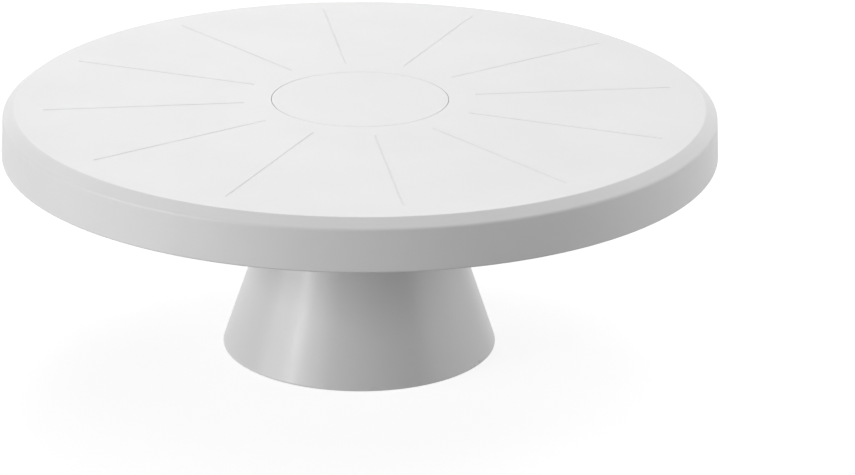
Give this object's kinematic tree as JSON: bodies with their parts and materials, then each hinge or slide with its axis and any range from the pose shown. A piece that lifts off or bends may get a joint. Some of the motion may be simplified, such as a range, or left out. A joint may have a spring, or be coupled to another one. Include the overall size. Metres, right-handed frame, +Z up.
{
  "type": "cake turntable",
  "caption": "Round cake decorating turntable: a plate with radial guide lines spins on a ball bearing over a weighted conical base.",
  "frame": {"origin": "on the table, under the spindle's axis", "axes": "+Z up along the spindle; -Y faces the viewer; the plate is round, so X and Y are free"},
  "size_m": [0.2286, 0.2286, 0.0825],
  "materials": {
    "plate_plastic": "satin off-white plastic with a fine grain",
    "base_plastic": "smooth satin off-white plastic",
    "cover_plastic": "matt light grey plastic",
    "rubber": "matt soft rubber",
    "steel": "turned and plated steel",
    "bearing_steel": "ground and polished bearing steel",
    "nylon": "natural nylon",
    "acetal": "smooth black acetal",
    "cast_iron": "rough cast iron"
  },
  "bodies": {
    "base": {"base_shell": "base_plastic", "base_cover": "cover_plastic", "foot_ring": "rubber", "ballast_ring": "cast_iron", "cover_screw_1": "steel", "cover_screw_2": "steel", "cover_screw_3": "steel", "cover_screw_4": "steel", "spindle": "steel", "retaining_washer": "steel", "retaining_screw": "steel", "lower_race": "bearing_steel"},
    "bearing_cage": {"ball_cage": "nylon", "ball_01": "bearing_steel", "ball_02": "bearing_steel", "ball_03": "bearing_steel", "ball_04": "bearing_steel", "ball_05": "bearing_steel", "ball_06": "bearing_steel", "ball_07": "bearing_steel", "ball_08": "bearing_steel", "ball_09": "bearing_steel", "ball_10": "bearing_steel", "ball_11": "bearing_steel", "ball_12": "bearing_steel"},
    "plate": {"turntable_plate": "plate_plastic", "centre_cap": "plate_plastic", "upper_race": "bearing_steel", "hub_bush": "acetal"}
  },
  "joints": [
    {"name": "plate_spin", "type": "hinge", "parent": "base", "child": "plate", "pos_m": [0, 0, 0.0668], "axis": [0, 0, 1], "continuous": true},
    {"name": "cage_spin", "type": "hinge", "parent": "base", "child": "bearing_cage", "pos_m": [0, 0, 0.0646], "axis": [0, 0, 1], "continuous": true}
  ],
  "couplings": [
    {"joint": "cage_spin", "follows": "plate_spin", "ratio": 0.5}
  ]
}
